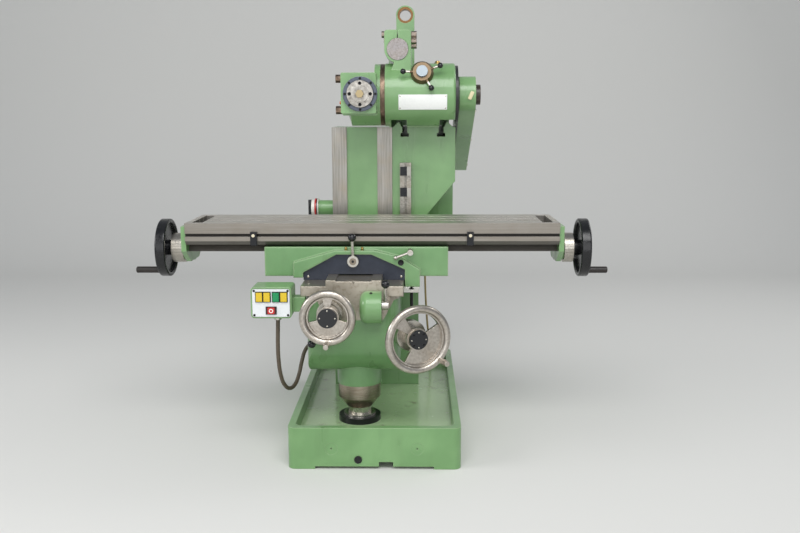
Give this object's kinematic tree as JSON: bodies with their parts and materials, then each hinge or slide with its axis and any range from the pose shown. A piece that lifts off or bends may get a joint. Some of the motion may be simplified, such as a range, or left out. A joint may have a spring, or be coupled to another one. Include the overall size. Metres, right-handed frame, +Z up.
{
  "type": "knee milling machine",
  "caption": "Green knee-type milling machine with a horizontal spindle in a swivelling head on a sliding ram, a long T-slotted table, handwheels and a push-button box.",
  "frame": {"origin": "centre of the base's foot face, on the floor", "axes": "+X to the operator's right along the table, +Y from the operator to the column, +Z up"},
  "size_m": [1.8157, 1.6263, 1.7818],
  "materials": {
    "green_paint": "glossy machine enamel",
    "ground_steel": "ground and scraped",
    "cast_grey": "machined cast iron",
    "polished_wheel": "turned and polished",
    "black_plastic": "moulded",
    "black_steel": "blackened",
    "panel_grey": "satin plate",
    "yellow_button": "moulded",
    "green_button": "moulded",
    "red_button": "moulded",
    "bronze": "turned bronze",
    "cord_rubber": "sheathed",
    "belt_rubber": "moulded"
  },
  "bodies": {
    "frame": {"base": "green_paint", "column": "green_paint", "column_ways": "ground_steel", "trip_rail": "ground_steel", "drain_plug": "black_plastic", "isolator_body": "green_paint", "cable_glands": "black_plastic", "power_cable": "cord_rubber", "lift_screw": "ground_steel"},
    "trip_dog_upper": {"trip_dog_upper": "black_steel"},
    "trip_dog_lower": {"trip_dog_lower": "black_steel"},
    "isolator_knob": {"isolator_knob": "red_button"},
    "knee": {"knee": "cast_grey", "stop_rail": "polished_wheel", "feed_drum": "green_paint", "control_box": "green_paint", "control_panel": "panel_grey", "button_frames": "black_plastic", "conduit_glands": "ground_steel", "conduit": "cord_rubber"},
    "lift_nut": {"lift_nut": "ground_steel"},
    "lift_wheel": {"lift_wheel": "polished_wheel", "lift_shaft": "ground_steel"},
    "lift_grip": {"lift_grip": "polished_wheel"},
    "cross_wheel": {"cross_wheel": "polished_wheel", "cross_screw": "ground_steel"},
    "cross_grip": {"cross_grip": "polished_wheel"},
    "cross_feed_lever": {"cross_feed_lever": "ground_steel"},
    "lift_feed_lever": {"lift_feed_lever": "ground_steel"},
    "button_left": {"button_left": "yellow_button"},
    "button_right": {"button_right": "yellow_button"},
    "button_start": {"button_start": "green_button"},
    "button_jog": {"button_jog": "yellow_button"},
    "button_stop": {"button_stop": "red_button"},
    "saddle": {"saddle": "green_paint", "saddle_wiper": "black_steel"},
    "table_feed_lever": {"table_feed_lever": "ground_steel"},
    "table_clamp_lever": {"table_clamp_lever": "ground_steel"},
    "table": {"table": "cast_grey", "table_brackets": "green_paint"},
    "table_dog_left": {"table_dog_left": "black_steel"},
    "table_dog_right": {"table_dog_right": "black_steel"},
    "table_screw": {"table_screw": "ground_steel", "table_wheels": "black_plastic"},
    "table_grip_left": {"table_grip_left": "black_plastic"},
    "table_grip_right": {"table_grip_right": "black_plastic"},
    "ram": {"ram": "green_paint", "nameplate": "panel_grey", "drive_belt": "belt_rubber", "belt_guard": "green_paint", "motor": "green_paint"},
    "star_handle": {"star_handle": "ground_steel"},
    "motor_rotor": {"motor_rotor": "ground_steel"},
    "drive_shaft": {"drive_shaft": "ground_steel"},
    "overarm_bar": {"overarm_bar": "ground_steel"},
    "arbor_support": {"arbor_support": "green_paint", "arbor_bush": "bronze"},
    "head": {"head": "green_paint", "swivel_ring": "ground_steel"},
    "spindle": {"spindle": "ground_steel"}
  },
  "joints": [
    {"name": "lift_wheel_turn", "type": "hinge", "parent": "knee", "child": "lift_wheel", "pos_m": [0.1575, -0.529, 0.474], "axis": [-0.3907, 0.9205, 0], "range_deg": [-1082, 25922]},
    {"name": "knee_lift", "type": "slide", "parent": "frame", "child": "knee", "axis": [0, 0, 1], "range_m": [-0.015, 0.36]},
    {"name": "lift_nut_turn", "type": "hinge", "parent": "knee", "child": "lift_nut", "pos_m": [-0.0665, -0.3, 0.2], "axis": [0, 0, 1], "range_deg": [-542, 12962]},
    {"name": "lift_grip_turn", "type": "hinge", "parent": "lift_wheel", "child": "lift_grip", "pos_m": [0.2304, -0.49806, 0.3948], "axis": [0.3907, -0.9205, 0], "continuous": true},
    {"name": "cross_wheel_turn", "type": "hinge", "parent": "knee", "child": "cross_wheel", "pos_m": [-0.1605, -0.559, 0.558], "axis": [0, 1, 0], "range_deg": [-7202, 10802]},
    {"name": "saddle_cross", "type": "slide", "parent": "knee", "child": "saddle", "axis": [0, -1, 0], "range_m": [-0.1, 0.15]},
    {"name": "cross_grip_turn", "type": "hinge", "parent": "cross_wheel", "child": "cross_grip", "pos_m": [-0.1605, -0.6, 0.471], "axis": [0, -1, 0], "continuous": true},
    {"name": "table_screw_turn", "type": "hinge", "parent": "table", "child": "table_screw", "pos_m": [-0.0155, -0.157, 0.75], "axis": [1, 0, 0], "range_deg": [-24002, 17402]},
    {"name": "table_traverse", "type": "slide", "parent": "saddle", "child": "table", "axis": [1, 0, 0], "range_m": [-0.4, 0.29]},
    {"name": "table_grip_left_turn", "type": "hinge", "parent": "table_screw", "child": "table_grip_left", "pos_m": [-0.89, -0.20874, 0.67033], "axis": [1, 0, 0], "continuous": true},
    {"name": "table_grip_right_turn", "type": "hinge", "parent": "table_screw", "child": "table_grip_right", "pos_m": [0.85, -0.20874, 0.67033], "axis": [1, 0, 0], "continuous": true},
    {"name": "table_dog_left_slide", "type": "slide", "parent": "table", "child": "table_dog_left", "axis": [1, 0, 0], "range_m": [-0.2, 0.3]},
    {"name": "table_dog_right_slide", "type": "slide", "parent": "table", "child": "table_dog_right", "axis": [1, 0, 0], "range_m": [-0.3, 0.25]},
    {"name": "table_feed_lever_turn", "type": "hinge", "parent": "saddle", "child": "table_feed_lever", "pos_m": [-0.0835, -0.33, 0.725], "axis": [0, -1, 0], "range_deg": [-25, 25]},
    {"name": "table_clamp_lever_turn", "type": "hinge", "parent": "saddle", "child": "table_clamp_lever", "pos_m": [0.1285, -0.33, 0.758], "axis": [0, -1, 0], "range_deg": [-25, 40]},
    {"name": "cross_feed_lever_turn", "type": "hinge", "parent": "knee", "child": "cross_feed_lever", "pos_m": [0.04, -0.479, 0.587], "axis": [1, 0, 0], "range_deg": [-20, 20]},
    {"name": "lift_feed_lever_turn", "type": "hinge", "parent": "knee", "child": "lift_feed_lever", "pos_m": [-0.1895, -0.46, 0.475], "axis": [0, -1, 0], "range_deg": [-20, 20]},
    {"name": "button_left_press", "type": "slide", "parent": "knee", "child": "button_left", "axis": [0, 1, 0], "range_m": [0, 0.004], "stiffness_N_per_m": 400},
    {"name": "button_right_press", "type": "slide", "parent": "knee", "child": "button_right", "axis": [0, 1, 0], "range_m": [0, 0.004], "stiffness_N_per_m": 400},
    {"name": "button_start_press", "type": "slide", "parent": "knee", "child": "button_start", "axis": [0, 1, 0], "range_m": [0, 0.004], "stiffness_N_per_m": 400},
    {"name": "button_jog_press", "type": "slide", "parent": "knee", "child": "button_jog", "axis": [0, 1, 0], "range_m": [0, 0.004], "stiffness_N_per_m": 400},
    {"name": "button_stop_press", "type": "slide", "parent": "knee", "child": "button_stop", "axis": [0, 1, 0], "range_m": [0, 0.004], "stiffness_N_per_m": 400},
    {"name": "trip_dog_upper_slide", "type": "slide", "parent": "frame", "child": "trip_dog_upper", "axis": [0, 0, 1], "range_m": [-0.045, 0.012]},
    {"name": "trip_dog_lower_slide", "type": "slide", "parent": "frame", "child": "trip_dog_lower", "axis": [0, 0, 1], "range_m": [-0.12, 0.04]},
    {"name": "isolator_turn", "type": "hinge", "parent": "frame", "child": "isolator_knob", "pos_m": [-0.29, 0.243, 0.865], "axis": [-1, 0, 0], "range_deg": [0, 90]},
    {"name": "ram_slide", "type": "slide", "parent": "frame", "child": "ram", "axis": [0, 1, 0], "range_m": [-0.05, 0.3]},
    {"name": "star_handle_turn", "type": "hinge", "parent": "ram", "child": "star_handle", "pos_m": [0.173, -0.04481, 1.42075], "axis": [0, -0.9781, 0.2079], "range_deg": [-10, 60]},
    {"name": "head_swivel", "type": "hinge", "parent": "ram", "child": "head", "pos_m": [0, 0.065, 1.338], "axis": [-1, 0, 0], "range_deg": [-90, 0]},
    {"name": "spindle_spin", "type": "hinge", "parent": "head", "child": "spindle", "pos_m": [-0.064, 0, 1.338], "axis": [0, -1, 0], "continuous": true},
    {"name": "drive_shaft_spin", "type": "hinge", "parent": "ram", "child": "drive_shaft", "pos_m": [0.2, 0.065, 1.338], "axis": [1, 0, 0], "continuous": true},
    {"name": "motor_spin", "type": "hinge", "parent": "ram", "child": "motor_rotor", "pos_m": [0.25, 0.68, 1.07], "axis": [1, 0, 0], "continuous": true},
    {"name": "overarm_slide", "type": "slide", "parent": "ram", "child": "overarm_bar", "axis": [0, -1, 0], "range_m": [0, 0.45]},
    {"name": "arbor_support_turn", "type": "hinge", "parent": "overarm_bar", "child": "arbor_support", "pos_m": [0.077, 0.9, 1.513], "axis": [0, 1, 0], "range_deg": [-180, 0]}
  ],
  "couplings": [
    {"joint": "lift_wheel_turn", "follows": "knee_lift", "rad_per_m": 1256.6},
    {"joint": "lift_nut_turn", "follows": "knee_lift", "rad_per_m": 628.32},
    {"joint": "cross_wheel_turn", "follows": "saddle_cross", "rad_per_m": 1256.6},
    {"joint": "table_screw_turn", "follows": "table_traverse", "rad_per_m": 1047.2},
    {"joint": "drive_shaft_spin", "follows": "spindle_spin", "ratio": 1},
    {"joint": "motor_spin", "follows": "spindle_spin", "ratio": 1}
  ]
}
